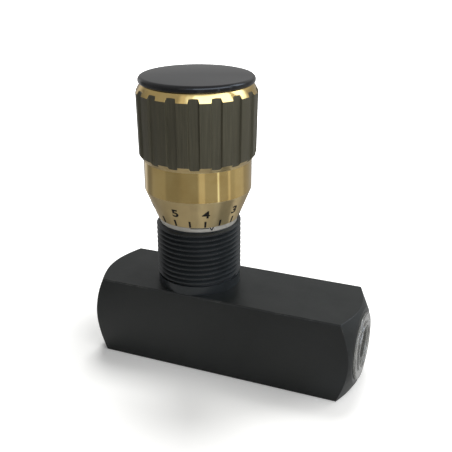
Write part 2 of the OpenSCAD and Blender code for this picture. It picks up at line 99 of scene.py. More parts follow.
# %% Helpers for materials
FIRST_VALUE, SECOND_VALUE = 2, 3        # a Mix node's inputs go by number: it mixes these two values,
FIRST_COLOUR, SECOND_COLOUR = 6, 7      # or these two colours


def linear(hex_colour):
    """An sRGB hex colour as linear red, green, blue and alpha."""
    channels = [int(hex_colour[i:i + 2], 16) / 255 for i in (1, 3, 5)]
    return [c / 12.92 if c <= 0.04045 else ((c + 0.055) / 1.055) ** 2.4 for c in channels] + [1.0]


def add(tree, kind, inputs=None, **settings):
    """Adds a node. settings are its properties. inputs maps a socket's name or number to a value, a hex
    colour, a socket, or a node, which gives its first output that is in use."""
    node = tree.nodes.new(kind)
    for name, value in settings.items():
        setattr(node, name, value)
    for name, value in (inputs or {}).items():
        if isinstance(value, bpy.types.Node):
            value = next(socket for socket in value.outputs if socket.enabled)
        if isinstance(value, bpy.types.NodeSocket):
            tree.links.new(value, node.inputs[name])
        else:
            node.inputs[name].default_value = linear(value) if isinstance(value, str) else value
    return node


def new_material(name):
    """An empty material, its node tree and the Object coordinates of the piece that wears it."""
    made = bpy.data.materials.new(name)
    made.use_nodes = True
    made.node_tree.nodes.clear()
    place = add(made.node_tree, "ShaderNodeTexCoord")
    return made, made.node_tree, place.outputs["Object"]


print("the middle grey #808080 gives back this share of the light:", round(linear("#808080")[0], 3))

# %% [markdown]
# ## Black steel
# The bar and the neck are steel with a black oxide finish: a thin grown layer, so the tool marks under it
# stay, and it is oiled, so it shines a little. One even black would look like plastic, and a picture of
# steel would bring its own scale and light along. Noise can be had at any size. Patches of 9 mm make the
# oxide a touch browner or bluer and the oil film thinner or thicker, and the grain under them is a few
# tenths of a millimetre. Over it run the tool's own marks: along the bar where a mill cut it, and round
# the neck where it was turned. They are noise that is drawn out one way.

# %% Black oxide on steel
OXIDE_PATCH = 9 * MM
OXIDE_GRAIN = 0.35 * MM
MARK_SPACING = 0.6 * MM         # real tool marks are about 0.2 mm apart, drawn coarser so that they show
ALONG_BAR = (0.03, 1, 1)        # scales of the noise along X, Y and Z: the smallest draws it out
ROUND_AXIS = (0.02, 0.02, 1)


def black_oxide(name, dark, light, smoothest, roughest, grain_depth, mark_run, mark_depth):
    """Oiled black oxide, from a dark to a light patch, with its roughness between two values."""
    made, tree, place = new_material(name)
    patch = add(tree, "ShaderNodeTexNoise", {"Vector": place, "Scale": 1 / OXIDE_PATCH, "Detail": 4})
    grain = add(tree, "ShaderNodeTexNoise", {"Vector": place, "Scale": 1 / OXIDE_GRAIN, "Detail": 3})
    along = add(tree, "ShaderNodeMapping", {"Vector": place, "Scale": mark_run})
    marks = add(tree, "ShaderNodeTexNoise", {"Vector": along, "Scale": 1 / MARK_SPACING, "Detail": 3})
    tone = add(tree, "ShaderNodeMapRange", {"Value": patch, "From Min": 0.35, "From Max": 0.65})
    speck = add(tree, "ShaderNodeMapRange", {
        "Value": grain, "From Min": 0.3, "From Max": 0.7, "To Min": -0.4, "To Max": 0.4})
    both = add(tree, "ShaderNodeMath", {0: tone, 1: speck}, operation="ADD", use_clamp=True)
    colour = add(tree, "ShaderNodeMix", {0: both, FIRST_COLOUR: dark, SECOND_COLOUR: light},
                 data_type="RGBA")
    rough = add(tree, "ShaderNodeMapRange", {
        "Value": patch, "From Min": 0.3, "From Max": 0.7, "To Min": smoothest, "To Max": roughest})
    grained = add(tree, "ShaderNodeBump", {"Height": grain, "Distance": grain_depth, "Strength": 0.6})
    bump = add(tree, "ShaderNodeBump", {
        "Height": marks, "Distance": mark_depth, "Strength": 0.6, "Normal": grained})
    shader = add(tree, "ShaderNodeBsdfPrincipled", {
        "Base Color": colour, "Roughness": rough, "Specular IOR Level": 0.42, "Normal": bump})
    add(tree, "ShaderNodeOutputMaterial", {"Surface": shader})
    return made


body_black = black_oxide("black_oxide_milled_steel", "#101312", "#181a19", smoothest=0.36, roughest=0.5,
                         grain_depth=0.004 * MM, mark_run=ALONG_BAR, mark_depth=0.01 * MM)
neck_black = black_oxide("black_oxide_turned_steel", "#232729", "#2b2f31", smoothest=0.28, roughest=0.42,
                         grain_depth=0.002 * MM, mark_run=ROUND_AXIS, mark_depth=0.002 * MM)
print("black steel:", body_black.name, neck_black.name)

# %% [markdown]
# ## Worn edges
# Where a hand or a vice has rubbed the bar, its edges are worn through to grey steel, but only here and
# there. A shader can look for edges by itself, but that is slow and the exported model would lose it. The
# bar's broken edges are faces of their own, so they can simply wear a second finish, in which noise mixes
# the oxide with bare metal.

# %% Worn edges
WEAR_PATCH = 5 * MM


def worn_edge(name, coat, bare, start, end):
    """A coated edge that is rubbed bare where the noise is above start, wholly so at end."""
    made, tree, place = new_material(name)
    patch = add(tree, "ShaderNodeTexNoise", {
        "Vector": place, "Scale": 1 / WEAR_PATCH, "Detail": 6, "Roughness": 0.7})
    rubbed = add(tree, "ShaderNodeMapRange", {"Value": patch, "From Min": start, "From Max": end})
    colour = add(tree, "ShaderNodeMix", {0: rubbed, FIRST_COLOUR: coat, SECOND_COLOUR: bare},
                 data_type="RGBA")
    rough = add(tree, "ShaderNodeMapRange", {"Value": rubbed, "To Min": 0.42, "To Max": 0.3})
    shader = add(tree, "ShaderNodeBsdfPrincipled", {
        "Base Color": colour, "Metallic": rubbed, "Roughness": rough})
    add(tree, "ShaderNodeOutputMaterial", {"Surface": shader})
    return made


steel_edge = worn_edge("worn_edge_black_oxide", "#1d1e1e", "#73736f", start=0.52, end=0.82)
print("worn edge:", steel_edge.name)

# %% [markdown]
# ## Brass
# The knob is turned from brass bar. A lathe leaves rings, so the metal scatters light up and down but not
# sideways, and that is why a turned drum shows upright bands. Rings cut into the mesh would need far too
# many faces, and the Principled shader has the same effect as anisotropy. Its direction runs round the
# axis, so it is turned a quarter. The drum is polished. The cone under it is left as the tool cut it, and
# so is more matt. Fingers have tarnished both a little, in patches.

# %% Turned brass
RING_SPACING = 0.30 * MM        # real turning marks are about 0.1 mm apart, drawn coarser so that they show
TARNISH_PATCH = 6 * MM


def turned_brass(name, clean, tarnished, roughness, ring_depth):
    """Brass with turning rings and the given roughness across them."""
    made, tree, place = new_material(name)
    along = add(tree, "ShaderNodeMapping", {"Vector": place, "Scale": ROUND_AXIS})
    rings = add(tree, "ShaderNodeTexNoise", {"Vector": along, "Scale": 1 / RING_SPACING, "Detail": 3})
    patch = add(tree, "ShaderNodeTexNoise", {"Vector": place, "Scale": 1 / TARNISH_PATCH, "Detail": 5})
    tarnish = add(tree, "ShaderNodeMapRange", {"Value": patch, "From Min": 0.4, "From Max": 0.8})
    colour = add(tree, "ShaderNodeMix", {0: tarnish, FIRST_COLOUR: clean, SECOND_COLOUR: tarnished},
                 data_type="RGBA")
    bump = add(tree, "ShaderNodeBump", {"Height": rings, "Distance": ring_depth, "Strength": 0.5})
    around = add(tree, "ShaderNodeTangent", direction_type="RADIAL", axis="Z")
    shader = add(tree, "ShaderNodeBsdfPrincipled", {
        "Base Color": colour,
        "Metallic": 1.0,
        "Roughness": roughness,
        "Anisotropic": 0.95,
        "Anisotropic Rotation": 0.25,
        "Tangent": around,
        "Normal": bump})
    add(tree, "ShaderNodeOutputMaterial", {"Surface": shader})
    return made


drum_brass = turned_brass("brass_turned_polished", "#d3b87a", "#c4a668", 0.11, 0.0004 * MM)
cone_brass = turned_brass("brass_turned_satin", "#cab484", "#bba57a", 0.34, 0.001 * MM)
print("brass:", drum_brass.name, cone_brass.name)

# %% [markdown]
# ## The blackened grip
# The grip's brass was blackened all over, and then its two chamfers were turned again: the upper one to a
# polish, the lower one only as bright as the tool left it. The dark coat is olive brown, brushed along the
# axis, and the brass shows through it faintly. A coat over metal could be mixed from two shaders, but one
# shader that is part metal looks the same and exports better. The brushing is noise that is drawn out
# along Z: fine across the grip and long down it.

# %% Blackened grip
BRUSH_SPACING = 0.35 * MM       # real brush lines are finer, drawn coarser so that they show
BRUSH_DEPTH = 0.004 * MM
ALONG_AXIS = (1, 1, 0.03)


def blackened_brass(name, dark, light):
    """Brushed dark coat over brass: half metal, half lacquer."""
    made, tree, place = new_material(name)
    along = add(tree, "ShaderNodeMapping", {"Vector": place, "Scale": ALONG_AXIS})
    lines = add(tree, "ShaderNodeTexNoise", {"Vector": along, "Scale": 1 / BRUSH_SPACING, "Detail": 3})
    patch = add(tree, "ShaderNodeTexNoise", {"Vector": place, "Scale": 1 / OXIDE_PATCH, "Detail": 3})
    sharp = add(tree, "ShaderNodeMapRange", {"Value": lines, "From Min": 0.3, "From Max": 0.7})
    tone = add(tree, "ShaderNodeMath", {0: sharp, 1: patch}, operation="MULTIPLY")
    wide = add(tree, "ShaderNodeMapRange", {"Value": tone, "From Min": 0.05, "From Max": 0.6})
    colour = add(tree, "ShaderNodeMix", {0: wide, FIRST_COLOUR: dark, SECOND_COLOUR: light},
                 data_type="RGBA")
    rough = add(tree, "ShaderNodeMapRange", {"Value": sharp, "To Min": 0.42, "To Max": 0.55})
    bump = add(tree, "ShaderNodeBump", {"Height": lines, "Distance": BRUSH_DEPTH, "Strength": 0.6})
    shader = add(tree, "ShaderNodeBsdfPrincipled", {
        "Base Color": colour, "Metallic": 0.3, "Roughness": rough, "Normal": bump})
    add(tree, "ShaderNodeOutputMaterial", {"Surface": shader})
    return made


grip_coat = blackened_brass("blackened_brass_brushed", "#4a4738", "#585443")
print("grip:", grip_coat.name)

# %% [markdown]
# ## Plastics, rubber and bright metal
# The cap is moulded ABS, which is glossy because the mould was. The plug is polyethylene: milky, a little
# waxy, and light passes through its thin walls. The sleeve is aluminium, blasted and then anodised clear,
# so it is pale and soft. The spindle and its like are ground steel and bright, the springs are darker
# drawn wire, and the screws are blackened. Rubber is matt and nearly black, the rings of PTFE are waxy
# white, and the scale's ink is a dull black. Each could be one flat colour, but no real surface is: its
# colour and its gloss drift a little from place to place, and one function gives them that.

# %% Plain finishes
SMOOTHER, ROUGHER = 0.9, 1.15   # shares of a finish's roughness, between which it drifts


def plain_finish(name, dark, light, patch_size, roughness, **inputs):
    """A finish whose colour and roughness drift a little over patches of the given size."""
    made, tree, place = new_material(name)
    patch = add(tree, "ShaderNodeTexNoise", {"Vector": place, "Scale": 1 / patch_size, "Detail": 4})
    drift = add(tree, "ShaderNodeMapRange", {"Value": patch, "From Min": 0.3, "From Max": 0.7})
    colour = add(tree, "ShaderNodeMix", {0: drift, FIRST_COLOUR: dark, SECOND_COLOUR: light},
                 data_type="RGBA")
    rough = add(tree, "ShaderNodeMapRange", {
        "Value": drift, "To Min": roughness * SMOOTHER, "To Max": roughness * ROUGHER})
    wanted = {"Base Color": colour, "Roughness": rough}
    wanted.update({socket.replace("_", " "): value for socket, value in inputs.items()})
    shader = add(tree, "ShaderNodeBsdfPrincipled", wanted)
    add(tree, "ShaderNodeOutputMaterial", {"Surface": shader})
    return made


cap_black = plain_finish("abs_moulded_glossy", "#121315", "#17181a", 4 * MM, 0.035, Specular_IOR_Level=0.38)
plug_clear = plain_finish("polyethylene_moulded_milky", "#b9bab7", "#c6c6c3", 3 * MM, 0.14,
                          Transmission_Weight=0.75, IOR=1.51)
sleeve_grey = plain_finish("aluminium_anodised_clear", "#bcb9b0", "#c9c6be", 2 * MM, 0.45, Metallic=0.4)
ground_steel = plain_finish("steel_ground", "#8d9092", "#a2a5a6", 2 * MM, 0.25, Metallic=1.0)
spring_wire = plain_finish("spring_steel_drawn", "#6f7274", "#85888a", 1.5 * MM, 0.3, Metallic=1.0)
screw_black = plain_finish("steel_black_screw", "#242527", "#303134", 1 * MM, 0.4, Metallic=0.5)
rubber = plain_finish("nitrile_rubber_moulded", "#161617", "#1d1d1f", 2 * MM, 0.6)
white_plastic = plain_finish("ptfe_turned", "#dfddd6", "#ebe9e3", 2 * MM, 0.5)
ink = plain_finish("black_ink", "#171512", "#1f1c18", 1 * MM, 0.6, Specular_IOR_Level=0.2)
print("materials so far:", len(bpy.data.materials))

# %% [markdown]
# ## Broken edges
# A CAD face meets the next at a perfectly sharp line, and no real edge does: each has a small break that
# catches light. The edges could be faked in the shader, but then the mesh itself stays sharp. So a piece
# is copied from its CAD node, its loose triangles are welded, flat areas are joined up, and the bevel
# operator breaks every edge that turns by more than a small angle.

# %% Copy a node and break its edges
WELD = 0.002 * MM
FLAT = math.radians(0.4)
SHARP = math.radians(16)


def eased(node, width, edge_slot=0):
    """The node's shape as a bmesh, with its edges broken by width. The breaks wear material edge_slot."""
    bm = bmesh.new()
    bm.from_mesh(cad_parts[node].data)
    bmesh.ops.remove_doubles(bm, verts=bm.verts, dist=WELD)
    bmesh.ops.dissolve_limit(bm, angle_limit=FLAT, verts=bm.verts, edges=bm.edges)
    edges = [e for e in bm.edges if len(e.link_faces) == 2 and e.calc_face_angle() > SHARP]
    if width:
        broken = bmesh.ops.bevel(bm, geom=edges, offset=width, offset_type="OFFSET", affect="EDGES",
                                 segments=2, profile=0.5, material=-1, clamp_overlap=False)
        for face in broken["faces"]:
            face.material_index = edge_slot
    return bm


print("edges that turn by more than this are broken, degrees:", round(math.degrees(SHARP), 1))

# %% [markdown]
# ## From a shape to a piece
# A bmesh is only a shape in memory. Each one becomes a piece in the same way, so one function does it: it
# makes the mesh and the object, hands over the materials, and lets curves shade smoothly while edges stay
# crisp. Then it says which body the piece rides on, and hides the CAD nodes that it stands for. Counting
# open edges shows at once whether the shape is closed.

# %% Make a piece
SMOOTH_BELOW = math.radians(14)


def finished(bm, name, body, materials, stands_for=()):
    """Makes the bmesh a piece that rides on a body, in its finish, and hides the nodes it stands for."""
    mesh = bpy.data.meshes.new(name)
    open_edges = sum(len(e.link_faces) != 2 for e in bm.edges)
    bm.to_mesh(mesh)
    bm.free()
    for material in materials:
        mesh.materials.append(material)
    mesh.shade_smooth()
    mesh.set_sharp_from_angle(angle=SMOOTH_BELOW)
    piece = bpy.data.objects.new(name, mesh)
    bpy.context.scene.collection.objects.link(piece)
    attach(piece, body)
    if stands_for:
        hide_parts(*stands_for)
    print(f"{name}: {len(mesh.polygons)} faces, {open_edges} open edges, rides on {body}")
    return piece


print("faces that meet at less than this shade as one, degrees:", round(math.degrees(SMOOTH_BELOW), 1))

# %% [markdown]
# ## The bar
# The bar is milled square and its ends are turned to a cone, so each end shows four curved corners. It
# could be built anew from a long cube, but its shape is right in the frame, and it only needs its edges
# broken. The break is a second material slot, which gets the worn finish.

# %% Bar
BAR_EDGE = 0.10 * MM
finished(eased("valve_body", BAR_EDGE, edge_slot=1), "steel_bar", "valve",
         [body_black, steel_edge], ["valve_body"])

# %% [markdown]
# ## Screw threads
# A thread is one small outline carried up a helix. A bump in the shader would leave its outline smooth. A
# screw modifier could do it, but the spin operator says it in one line: it turns the outline round the
# axis and moves it up a little at each step. The ridge starts and ends at nothing, as a cut thread runs
# out, or it runs past the end of the part and a plane cuts it off there. A ridge that stands on a cylinder
# at the root of the thread makes an outside thread, and one that points inwards makes an inside thread.

# %% Thread ridge
STEPS_PER_TURN = 64
FOOT_SHARE, CREST_SHARE = 0.82, 0.14    # widths of the ridge's foot and crest, as shares of the pitch


def thread_ridge(low, high, root_r, crest_r, pitch, cut_at=None):
    """A helical ridge from height low to high, cut off flat at cut_at if that is given."""
    bm = bmesh.new()
    foot, top = pitch * FOOT_SHARE / 2, pitch * CREST_SHARE / 2
    outline = [(root_r, -foot), (crest_r, -top), (crest_r, top), (root_r, foot)]
    ring = [bm.verts.new((r, 0, low + foot + z)) for r, z in outline]
    edges = [bm.edges.new((ring[i], ring[i - 1])) for i in range(len(ring))]
    turns = (high - low - 2 * foot) / pitch
    steps = round(turns * STEPS_PER_TURN)
    spun = bmesh.ops.spin(bm, geom=ring + edges, cent=(0, 0, 0), axis=(0, 0, 1), steps=steps,
                          dvec=(0, 0, turns * pitch / steps), angle=2 * math.pi * turns)
    last = [g for g in spun["geom_last"] if isinstance(g, bmesh.types.BMVert)]
    bmesh.ops.contextual_create(bm, geom=ring)
    bmesh.ops.contextual_create(bm, geom=last)
    for v in bm.verts:
        share = min(1.0, (v.co.z - low) / pitch, (high - v.co.z) / pitch)
        radius = math.hypot(v.co.x, v.co.y)
        wanted = root_r + (radius - root_r) * max(0.0, share)
        v.co.xy = v.co.xy * wanted / radius
    if cut_at:
        cut = bmesh.ops.bisect_plane(bm, geom=[*bm.verts, *bm.edges, *bm.faces], dist=0,
                                     plane_co=(0, 0, cut_at), plane_no=(0, 0, 1), clear_outer=True)
        bmesh.ops.holes_fill(bm, edges=[g for g in cut["geom_cut"] if isinstance(g, bmesh.types.BMEdge)])
    bmesh.ops.recalc_face_normals(bm, faces=bm.faces)
    return bm


print("steps in each turn of a thread:", STEPS_PER_TURN)

# %% [markdown]
# ## The neck
# The neck is a bush with an M25 thread of 1.5 mm pitch, for a panel nut. The frame has it as a plain
# cylinder at the thread's outer size. The bush could be spun anew from its outline, but then its bore and
# its grooves would be drawn twice. So a copy has that one stretch brought in to the thread's root, and the
# ridge stands on it. It starts inside the collar and is cut off at the top face, so that the thread runs
# the whole way, as it does when a bush is parted from threaded bar.

# %% Neck
NECK_PITCH = 1.5 * MM
NECK_DEPTH = 0.86 * MM
NECK_LOW = 27.7 * MM
NECK_TOP = 44.6 * MM
COLLAR_R = 12.35 * MM           # under the top face, only what is further out than this belongs to the thread
RUN_INTO_COLLAR = 0.6 * MM
RUN_PAST_TOP = 2 * NECK_PITCH
CUT_UNDER_TOP = 0.02 * MM
NECK_RIDGE_SINK = 0.05 * MM     # how far the ridge's foot lies under the root, so that no gap shows
neck_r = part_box("bonnet")[1].x
neck_root = neck_r - NECK_DEPTH
bm = eased("bonnet", 0)
for v in bm.verts:
    radius = math.hypot(v.co.x, v.co.y)
    keep_inside = neck_root if v.co.z > NECK_TOP - WELD else COLLAR_R
    if NECK_LOW - WELD < v.co.z < NECK_TOP + WELD and radius > keep_inside:
        v.co.xy = v.co.xy * neck_root / radius
finished(bm, "neck_bush", "valve", [neck_black], ["bonnet"])
ridge = thread_ridge(NECK_LOW - RUN_INTO_COLLAR, NECK_TOP + RUN_PAST_TOP, neck_root - NECK_RIDGE_SINK,
                     neck_r, NECK_PITCH, cut_at=NECK_TOP - CUT_UNDER_TOP)
finished(ridge, "neck_thread", "valve", [neck_black])

# %% [markdown]
# ## The port threads
# Each port is tapped G 3/8, which has 19 threads to the inch. The frame's bore is plain, at the thread's
# outer size. It could stay so, but the open port shows its thread as soon as one looks into it. So the
# ridge points inwards from the bore's wall. It is made upright and then laid along X.

# %% Port threads
PORT_PITCH = 25.4 / 19 * MM
PORT_R = 8.33 * MM
PORT_CREST_R = 7.48 * MM
PORT_LENGTH = 11.2 * MM
PORT_INSET = 0.3 * MM
PORT_RIDGE_SINK = 0.03 * MM
bar_low, bar_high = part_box("valve_body")
port_height = (bar_low.z + bar_high.z) / 2
for name, start in (("left_port_thread", bar_low.x + PORT_INSET),
                    ("right_port_thread", bar_high.x - PORT_INSET - PORT_LENGTH)):
    bm = thread_ridge(0, PORT_LENGTH, PORT_R + PORT_RIDGE_SINK, PORT_CREST_R, PORT_PITCH)
    lay = Matrix.Translation((start, 0, port_height)) @ Matrix.Rotation(math.pi / 2, 4, "Y")
    bmesh.ops.transform(bm, matrix=lay, verts=bm.verts)
    finished(bm, name, "valve", [neck_black])

# %% [markdown]
# ## The knob
# One piece of brass, three finishes: a satin scale cone, a polished drum and a blackened grip, whose upper
# chamfer is polished and whose lower chamfer is satin. A mask in one shader could mix them, but a turned
# face ends at an edge, so each face is given its own: by its height, and on the grip by whether it lies on
# one of the two chamfers or down in a flute. A face is in a flute if a corner of it is deeper than the
# turned outline, by more than the broken edge takes off.

# %% Where the knob's finishes end
KNOB_EDGE = 0.08 * MM
CONE_HEIGHT = 8.7 * MM
DRUM_HEIGHT = 8.7 * MM
LOW_CHAMFER = 1.7 * MM
TOP_CHAMFER = 2.4 * MM
TOP_CHAMFER_IN = 1.3 * MM
DRUM_R = 15.55 * MM
GRIP_STEP = 1.25 * MM
GRIP_LEAN = 0.27 * MM
INSIDE_R = DRUM_R - 1 * MM      # a face that is nearer the axis is in the knob's bore
FLUTE_FROM = 1.3 * KNOB_EDGE    # a corner that is deeper under the turned outline is in a flute
knob_low, knob_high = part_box("knob")
cone_top = knob_low.z + CONE_HEIGHT
drum_top = cone_top + DRUM_HEIGHT
grip_low = drum_top + LOW_CHAMFER
grip_top = knob_high.z - TOP_CHAMFER
SATIN, POLISHED, COATED = range(3)


def turned_radius(z):
    """Radius of the grip's turned outline, chamfers included, at height z."""
    low = DRUM_R + GRIP_STEP * (z - drum_top) / LOW_CHAMFER
    side = DRUM_R + GRIP_STEP + GRIP_LEAN * (z - grip_low) / (grip_top - grip_low)
    top = DRUM_R + GRIP_STEP + GRIP_LEAN - TOP_CHAMFER_IN * (z - grip_top) / TOP_CHAMFER
    return min(low, side, top)


def knob_finish(face):
    """Which of the knob's three finishes a face has."""
    centre = face.calc_center_median()
    if centre.z < cone_top:
        return SATIN
    if centre.z < drum_top or centre.z > knob_high.z - WELD:
        return POLISHED
    if math.hypot(centre.x, centre.y) < INSIDE_R:
        return SATIN
    deepest = max(turned_radius(v.co.z) - math.hypot(v.co.x, v.co.y) for v in face.verts)
    if grip_low < centre.z < grip_top or deepest > FLUTE_FROM:
        return COATED
    return SATIN if centre.z < grip_low else POLISHED


print("the cone, drum and grip start at these heights, and the grip ends at the last, mm:",
      [round(z / MM, 2) for z in (knob_low.z, cone_top, drum_top, knob_high.z)])

# %% Knob
bm = eased("knob", KNOB_EDGE)
for face in bm.faces:
    face.material_index = knob_finish(face)
finished(bm, "turned_knob", "control", [cone_brass, drum_brass, grip_coat], ["knob"])

# %% [markdown]
# ## The scale
# The cone carries numbers and ticks, as filled engraving, so they lie flush and black. They could be
# painted by a texture, but a texture would need an image. Here they are thin solids that are drawn flat
# and then bent onto the brass. A wide flat face can't follow a curve, and its middle would sink into the
# brass, so each shape is first cut into narrow strips.

# %% Bend a flat shape round the axis
STRIP = 0.4 * MM
CONE_LOW_R = 12.0 * MM
cone_slope = math.atan2(DRUM_R - CONE_LOW_R, CONE_HEIGHT)


def cone_radius(z):
    """Radius of the scale cone at height z."""
    return CONE_LOW_R + (z - knob_low.z) * math.tan(cone_slope)


def sliced(bm):
    """Cuts a flat shape into upright strips, so that it can bend."""
    reach = int(max(abs(v.co.x) for v in bm.verts) / STRIP)
    for step in range(-reach, reach + 1):
        bmesh.ops.bisect_plane(bm, geom=[*bm.verts, *bm.edges, *bm.faces], dist=0,
                               plane_co=(step * STRIP, 0, 0), plane_no=(1, 0, 0))


def bent_round(bm, turn, height, middle_r, slope=0.0):
    """Bends a shape drawn in X and Y, with Z outwards, round the axis. Its origin comes to lie at a turn
    from the front, a height and a radius, on a surface that leans out by slope."""
    sliced(bm)
    for v in bm.verts:
        across, up, out = v.co
        radius = middle_r + up * math.sin(slope) + out * math.cos(slope)
        angle = math.radians(turn) + across / middle_r
        v.co = (radius * math.sin(angle), -radius * math.cos(angle),
                height + up * math.cos(slope) - out * math.sin(slope))


print("the cone leans out by, degrees:", round(math.degrees(cone_slope), 1))

# %% [markdown]
# A tick is a flat box. A number could be drawn stroke by stroke, but a text object already knows its
# outline: it is made a mesh, made a little bolder and wider, as an engraver's numbers are, and fitted to
# its height. Every shape lies half under the surface, so it stands proud by no more than the ink's depth.

# %% Flat ticks and numbers
INK_DEPTH = 0.05 * MM
NUMBER_HEIGHT = 2.7 * MM
NUMBER_WIDEN = 1.22             # times as wide as the text's own shape
NUMBER_BOLD = 0.021             # of the text's own size, as is the weld
TEXT_WELD = 0.0001


def flat_bar(width, length):
    """A thin box that lies half under the surface."""
    bm = bmesh.new()
    bmesh.ops.create_cube(bm, size=1, matrix=Matrix.Diagonal((width, length, 2 * INK_DEPTH, 1)))
    return bm


def number_shape(number):
    """A number as a thin solid, NUMBER_HEIGHT tall and centred."""
    text = bpy.data.curves.new("number", "FONT")
    text.body = str(number)
    text.extrude = 1
    text.offset = NUMBER_BOLD
    holder = bpy.data.objects.new("number", text)
    bpy.context.scene.collection.objects.link(holder)
    bpy.context.view_layer.update()
    bm = bmesh.new()
    bm.from_mesh(bpy.data.meshes.new_from_object(holder))
    bmesh.ops.remove_doubles(bm, verts=bm.verts, dist=TEXT_WELD)
    bmesh.ops.dissolve_limit(bm, angle_limit=FLAT, verts=bm.verts, edges=bm.edges)
    bpy.data.objects.remove(holder)
    low = Vector([min(v.co[i] for v in bm.verts) for i in range(3)])
    high = Vector([max(v.co[i] for v in bm.verts) for i in range(3)])
    size = NUMBER_HEIGHT / (high.y - low.y)
    centre = Matrix.Translation(-(low + high) / 2)
    fit = Matrix.Diagonal((size * NUMBER_WIDEN, size, 2 * INK_DEPTH / (high.z - low.z), 1))
    bmesh.ops.transform(bm, matrix=fit @ centre, verts=bm.verts)
    return bm


def join(parts):
    """One bmesh from several."""
    whole = bmesh.new()
    for part in parts:
        mesh = bpy.data.meshes.new("part")
        part.to_mesh(mesh)
        part.free()
        whole.from_mesh(mesh)
        bpy.data.meshes.remove(mesh)
    return whole


print("depth of the ink, mm:", INK_DEPTH / MM)

# %% [markdown]
# Nine numbers run round the cone, one turn of the knob in all, with a tick under each and another between.
# An array modifier could repeat the ticks, but the numbers differ, so one loop sets both. The numbers were
# set by hand, so two of them stand a little off their ticks.

# %% Numbers and ticks
NUMBERS = 9
NUMBER_IN_FRONT = 4
NUMBER_AT_FRONT = 32.7          # degrees from the front to that number, towards the right
SET_OFF = {3: -2.5, 5: 3.3}     # degrees that a hand-set number stands off its tick
NUMBER_Z = 50.95 * MM
TICK_LOW, TICK_HIGH = 46.33 * MM, 48.6 * MM
TICK_WIDTH = 0.58 * MM
number_step = 360 / NUMBERS
tick_z = (TICK_LOW + TICK_HIGH) / 2
scale_parts = []
for number in range(1, NUMBERS + 1):
    turn = NUMBER_AT_FRONT + (NUMBER_IN_FRONT - number) * number_step
    digit = number_shape(number)
    bent_round(digit, turn + SET_OFF.get(number, 0), NUMBER_Z, cone_radius(NUMBER_Z), cone_slope)
    scale_parts.append(digit)
    for half in (0, 0.5):
        tick = flat_bar(TICK_WIDTH, TICK_HIGH - TICK_LOW)
        bent_round(tick, turn - half * number_step, tick_z, cone_radius(tick_z), cone_slope)
        scale_parts.append(tick)
finished(join(scale_parts), "scale_numbers", "control", [ink])

# %% [markdown]
# ## The sleeve and its marks
# The fixed sleeve under the knob carries an index, a small V, and one line for each whole turn. As the
# knob rises it uncovers them. They are the same filled engraving, and a cylinder is a cone that doesn't
# lean, so the same function bends them. The sleeve itself is right in the frame and is only copied, with
# its edges broken.

# %% Sleeve and its marks
INDEX_TURN = 42.9               # degrees from the front towards the right, as in the next line
TURN_LINE_FROM, TURN_LINE_TO = 12.0, 38.8
INDEX_Z = 44.95 * MM
FIRST_TURN_Z = 45.78 * MM
TURN_RISE = 1.0 * MM
TURN_LINES = 5
LINE_WIDTH = 0.2 * MM
V_ARM, V_WIDTH, V_LEAN = 1.45 * MM, 0.3 * MM, math.radians(30)
SLEEVE_EDGE = 0.1 * MM
sleeve_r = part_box("scale_sleeve")[1].x
arc = math.radians(TURN_LINE_TO - TURN_LINE_FROM) * sleeve_r
sleeve_parts = []
for line in range(TURN_LINES):
    mark = flat_bar(arc, LINE_WIDTH)
    bent_round(mark, (TURN_LINE_FROM + TURN_LINE_TO) / 2, FIRST_TURN_Z + line * TURN_RISE, sleeve_r)
    sleeve_parts.append(mark)
for side in (-1, 1):
    arm = flat_bar(V_WIDTH, V_ARM)
    lean = Matrix.Rotation(-side * V_LEAN, 4, "Z")
    shift = Matrix.Translation((side * V_ARM / 2 * math.sin(V_LEAN), V_ARM / 2, 0))
    bmesh.ops.transform(arm, matrix=shift @ lean, verts=arm.verts)
    bent_round(arm, INDEX_TURN, INDEX_Z, sleeve_r)
    sleeve_parts.append(arm)
finished(join(sleeve_parts), "sleeve_marks", "valve", [ink])
finished(eased("scale_sleeve", SLEEVE_EDGE), "pale_sleeve", "valve", [sleeve_grey],
         ["scale_sleeve"])

# %% [markdown]
# ## The cap and the plug
# Both are moulded, and their forms are right in the frame. They could stay as they are, but a node's mesh
# is loose triangles, which shade flat. Welded copies shade smoothly, so the cap's dome shows one clean
# highlight, and the plug gets the small radius that its mould has in its edges.

# %% Cap and plug
PLUG_EDGE = 0.08 * MM
finished(eased("knob_cap", 0), "domed_cap", "control", [cap_black], ["knob_cap"])
finished(eased("port_plug", PLUG_EDGE), "push_in_plug", "plug", [plug_clear],
         ["port_plug"])

# %% [markdown]
# ## The check spring
# The spring between the fixed seat and the moving poppet gets shorter as the poppet opens. If it rode on
# the poppet, its far end would leave the seat. So it rides on the valve with the seat.

# %% Check spring
spring = finished(eased("check_spring", 0), "coil_spring", "valve", [spring_wire],
                  ["check_spring"])
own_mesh(spring)

# %% [markdown]
# ## The pieces inside
# The spindle, the poppet, the screws and the seals are hidden. Copies with broken edges would add faces
# that nobody sees, so they keep their CAD shapes, and each gets the finish of what it is made of.

# %% Finishes of the inner pieces
INNER_FINISHES = {
    ground_steel: ["spindle", "check_poppet", "spring_seat", "knob_washer"],
    spring_wire: ["stop_ring", "retaining_ring"],
    screw_black: ["knob_screw", "lock_screw"],
    rubber: ["bonnet_o_ring", "spindle_o_ring", "wiper_ring"],
    white_plastic: ["backup_ring", "lock_pad"],
}
for material, names in INNER_FINISHES.items():
    for name in names:
        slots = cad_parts[name].data.materials
        slots.clear()
        slots.append(material)
print("inner pieces:", sum(map(len, INNER_FINISHES.values())))

